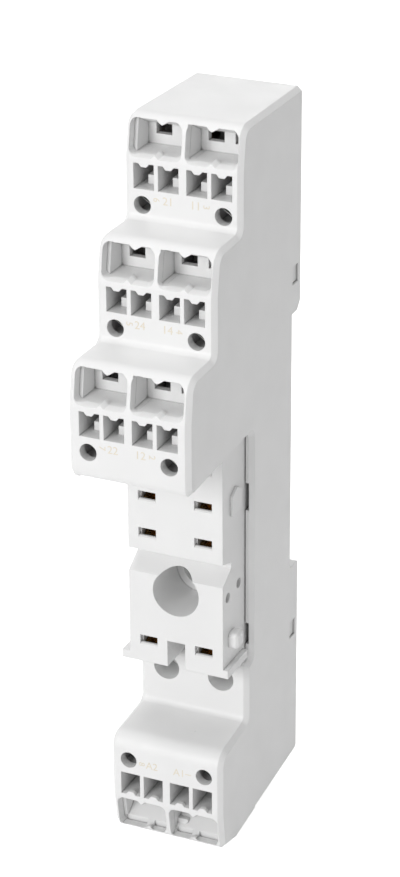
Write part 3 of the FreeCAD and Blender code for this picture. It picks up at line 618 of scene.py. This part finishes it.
class SOCKET_OT_carved_housing(bpy.types.Operator):
    """Carves the straight mouth walls and the lip gaps of the wire entries into a copy of the housing"""
    bl_idname = "socket.carved_housing"
    bl_label = "Carved housing"

    def execute(self, context):
        housing = merged_copy(NODES["housing"], "housing_carved")
        carve(housing, [form for tier in TIER_FACES.values() for form in entry_cutters(*tier)])
        housing.data.name = "housing_carved"
        dress(housing, NODES["housing"].data.materials[0])
        housing.data.polygons.foreach_set("use_smooth", np.zeros(len(housing.data.polygons), bool))
        keep_on_socket(housing)
        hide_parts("housing")
        return {"FINISHED"}


class SOCKET_OT_metals(bpy.types.Operator):
    """Gives the contact clips and bus bars brass, and the clamp and latch springs steel"""
    bl_idname = "socket.metals"
    bl_label = "Contacts and springs"

    def execute(self, context):
        p = context.scene.socket_finish
        brass = sheet_metal("Contact brass", tuple(p.brass), BRASS_ROUGHNESS)
        steel = sheet_metal("Spring steel", tuple(p.steel), STEEL_ROUGHNESS)
        for name, node in NODES.items():
            if name.startswith(("contact_clip", "bus_bar")):
                dress(node, brass)
            elif name.startswith(("clamp_spring", "latch_spring")):
                dress(node, steel)
        return {"FINISHED"}


class SOCKET_OT_probe_springs(bpy.types.Operator):
    """Adds the spring leaves that a test probe meets behind each round hole"""
    bl_idname = "socket.probe_springs"
    bl_label = "Probe springs"

    def execute(self, context):
        steel = NODES["clamp_spring_11_a"].data.materials[0]
        forms = [form for tier in TIER_FACES.values() for form in probe_leaves(*tier)]
        add_to_socket("probe_leaves", joined(forms), steel)
        return {"FINISHED"}


class SOCKET_OT_numbers(bpy.types.Operator):
    """Prints the terminal numbers and the small pin numbers on the tiers"""
    bl_idname = "socket.numbers"
    bl_label = "Printed numbers"

    def execute(self, context):
        p = context.scene.socket_marks
        ink = printed_ink("Beige print", tuple(context.scene.socket_finish.ink))
        for tier, (face, fold, side) in TIER_FACES.items():
            numbers, pins = TIER_NUMBERS[tier]
            rows = [(w, x, p.number_height, False) for w, x in zip(numbers, NUMBER_X)]
            rows += [(w, x, p.pin_height, True) for w, x in zip(pins, PIN_NUMBER_X)]
            forms = []
            for words, x, height, turned in rows:
                points, faces = printed_text(words, height, p.print_thickness, turned)
                place = np.array([x * MM, face * MM, (fold - side * NUMBER_DROP[side]) * MM])
                forms.append((points + place, faces))
            add_to_socket("numbers_" + tier, joined(forms), ink)
        return {"FINISHED"}


class SOCKET_OT_mould_marks(bpy.types.Operator):
    """Adds the ejector marks on the top, the small dot on the bottom tier and the wire stop in its right entry"""
    bl_idname = "socket.mould_marks"
    bl_label = "Mould marks"

    def execute(self, context):
        p = context.scene.socket_marks
        material = NODES["housing"].data.materials[0]
        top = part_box("housing")[1].z
        profile = np.array(EJECTOR_RING) * p.ejector_radius
        for name, x, y in EJECTOR_PLACES:
            place = (x * MM, y * MM, top + EJECTOR_DROP * MM)
            form = turned_form(profile, place, (0, 0, 1), EJECTOR_SIDES)
            add_to_socket("ejector_mark_" + name, form, material)
        form = turned_form(np.array(GATE_RING) * p.gate_radius, np.array(GATE_PLACE) * MM, GATE_AXIS, GATE_SIDES)
        add_to_socket("gate_mark", form, material)
        ring = np.array([(x, STOP_DEPTH[0], z) for x, z in STOP_RING]) * MM
        form = prism(ring, (0, 0, 0), (0, (STOP_DEPTH[1] - STOP_DEPTH[0]) * MM, 0))
        add_to_socket("wire_stop", form, material)
        return {"FINISHED"}


class SOCKET_OT_stage(bpy.types.Operator):
    """Sets the pale floor, the soft studio light and the camera"""
    bl_idname = "socket.stage"
    bl_label = "Stage"

    def execute(self, context):
        p = context.scene.socket_stage
        scene = context.scene
        low = min(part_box(n)[0].z for n in NODES) - p.floor_drop
        scene.view_settings.view_transform = "Standard"
        self.floor(low)
        self.lamps(scene, p)
        self.world(scene, p)
        self.camera(scene, p)
        return {"FINISHED"}

    def floor(self, low):
        """A sweep: level floor that turns up into a backdrop along a quarter circle, carried across in X. A point
        of the bend is (SWEEP_BEND + r cos a, r + r sin a) in (y, z)."""
        along, around, across = SWEEP_COUNTS
        run = np.linspace(SWEEP_NEAR, SWEEP_BEND, along)
        arc = np.linspace(-math.pi / 2, 0, around)[1:]
        r = SWEEP_RADIUS
        y = np.concatenate([run, SWEEP_BEND + r * np.cos(arc), [SWEEP_BEND + r]])
        z = np.concatenate([np.zeros_like(run), r + r * np.sin(arc), [SWEEP_HIGH]])
        x = np.linspace(-SWEEP_HALF, SWEEP_HALF, across)
        grid = np.stack(np.broadcast_arrays(x[None, :], y[:, None], low + z[:, None]), -1)
        i, j = np.meshgrid(np.arange(len(y) - 1), np.arange(len(x) - 1), indexing="ij")
        a = (i * len(x) + j).ravel()
        faces = np.stack([a, a + 1, a + len(x) + 1, a + len(x)], 1)
        sweep = mesh_piece("sweep", grid.reshape(-1, 3), faces, self.sweep_finish())
        sweep.data.polygons.foreach_set("use_smooth", np.ones(len(sweep.data.polygons), bool))

    def sweep_finish(self):
        """Matt pale grey that takes the shadow, with a glow that only the camera and reflections see."""
        material = bpy.data.materials.new("Pale sweep")
        material.use_nodes = True
        tree = material.node_tree
        tree.nodes.clear()
        out = tree.nodes.new("ShaderNodeOutputMaterial")
        plain = tree.nodes.new("ShaderNodeBsdfDiffuse")
        plain.inputs["Color"].default_value = SWEEP_TONE
        glow = tree.nodes.new("ShaderNodeEmission")
        add = tree.nodes.new("ShaderNodeAddShader")
        lift = tree.nodes.new("ShaderNodeMath")
        lift.operation = "MULTIPLY"
        lift.inputs[1].default_value = SWEEP_LIFT
        tree.links.new(seen_by_eye(tree), lift.inputs[0])
        tree.links.new(lift.outputs[0], glow.inputs["Strength"])
        tree.links.new(plain.outputs[0], add.inputs[0])
        tree.links.new(glow.outputs[0], add.inputs[1])
        tree.links.new(add.outputs[0], out.inputs["Surface"])
        return material

    def lamps(self, scene, p):
        """Large soft lamps aimed at the middle of the socket."""
        for name, place, size in LAMPS:
            data = bpy.data.lights.new(name, "AREA")
            data.shape = "DISK"
            data.size = size
            data.energy = getattr(p, name)
            lamp = bpy.data.objects.new(name, data)
            lamp.location = place
            lamp.rotation_euler = (Vector(LAMP_AIM) - Vector(place)).to_track_quat("-Z", "Y").to_euler()
            scene.collection.objects.link(lamp)

    def world(self, scene, p):
        """White as seen by the camera and in reflections, a weaker even light for everything else."""
        world = bpy.data.worlds.new("Studio")
        scene.world = world
        world.use_nodes = True
        tree = world.node_tree
        tree.nodes.clear()
        out = tree.nodes.new("ShaderNodeOutputWorld")
        back = tree.nodes.new("ShaderNodeBackground")
        back.inputs["Color"].default_value = (1, 1, 1, 1)
        level = spread(tree, seen_by_eye(tree), (0.0, 1.0), (p.ambient, 1.0))
        tree.links.new(level, back.inputs["Strength"])
        tree.links.new(back.outputs[0], out.inputs["Surface"])

    def camera(self, scene, p):
        """Camera axes from yaw, pitch and roll: it looks along +Y turned to the left by yaw and down by pitch."""
        forward = Vector((-math.sin(p.yaw) * math.cos(p.pitch), math.cos(p.yaw) * math.cos(p.pitch),
                          -math.sin(p.pitch)))
        right = Vector((math.cos(p.yaw), math.sin(p.yaw), 0))
        up = right.cross(forward)
        data = bpy.data.cameras.new("Camera")
        data.lens = p.lens
        data.sensor_width = SENSOR_WIDTH
        data.clip_start, data.clip_end = CLIP
        camera = bpy.data.objects.new("Camera", data)
        place = Matrix.Translation(Vector(p.camera_place))
        axes = Matrix((right, up, -forward)).transposed().to_4x4()
        camera.matrix_world = place @ axes @ Matrix.Rotation(p.roll, 4, "Z")
        scene.collection.objects.link(camera)
        scene.camera = camera


class SOCKET_PT_panel(bpy.types.Panel):
    """Lists the steps that dress the socket"""
    bl_idname = "SOCKET_PT_panel"
    bl_label = "Relay socket"
    bl_space_type = "VIEW_3D"
    bl_region_type = "UI"
    bl_category = "Socket"

    def draw(self, context):
        column = self.layout.column()
        for step in STEPS:
            column.operator(step.bl_idname)
        scene = context.scene
        for data in (scene.socket_finish, scene.socket_marks, scene.socket_stage):
            for name in data.bl_rna.properties.keys():
                if name not in ("rna_type", "name"):
                    column.prop(data, name)


STEPS = (SOCKET_OT_mouldings, SOCKET_OT_carved_housing, SOCKET_OT_metals, SOCKET_OT_probe_springs,
         SOCKET_OT_numbers, SOCKET_OT_mould_marks, SOCKET_OT_stage)
CLASSES = (SocketFinish, SocketMarks, SocketStage) + STEPS + (SOCKET_PT_panel,)


def register():
    for cls in CLASSES:
        bpy.utils.register_class(cls)
    bpy.types.Scene.socket_finish = PointerProperty(type=SocketFinish)
    bpy.types.Scene.socket_marks = PointerProperty(type=SocketMarks)
    bpy.types.Scene.socket_stage = PointerProperty(type=SocketStage)


def unregister():
    del bpy.types.Scene.socket_stage
    del bpy.types.Scene.socket_marks
    del bpy.types.Scene.socket_finish
    for cls in reversed(CLASSES):
        bpy.utils.unregister_class(cls)


def main():
    register()
    bpy.ops.socket.mouldings()
    bpy.ops.socket.carved_housing()
    bpy.ops.socket.metals()
    bpy.ops.socket.probe_springs()
    bpy.ops.socket.numbers()
    bpy.ops.socket.mould_marks()
    bpy.ops.socket.stage()


if __name__ == "__main__":
    main()
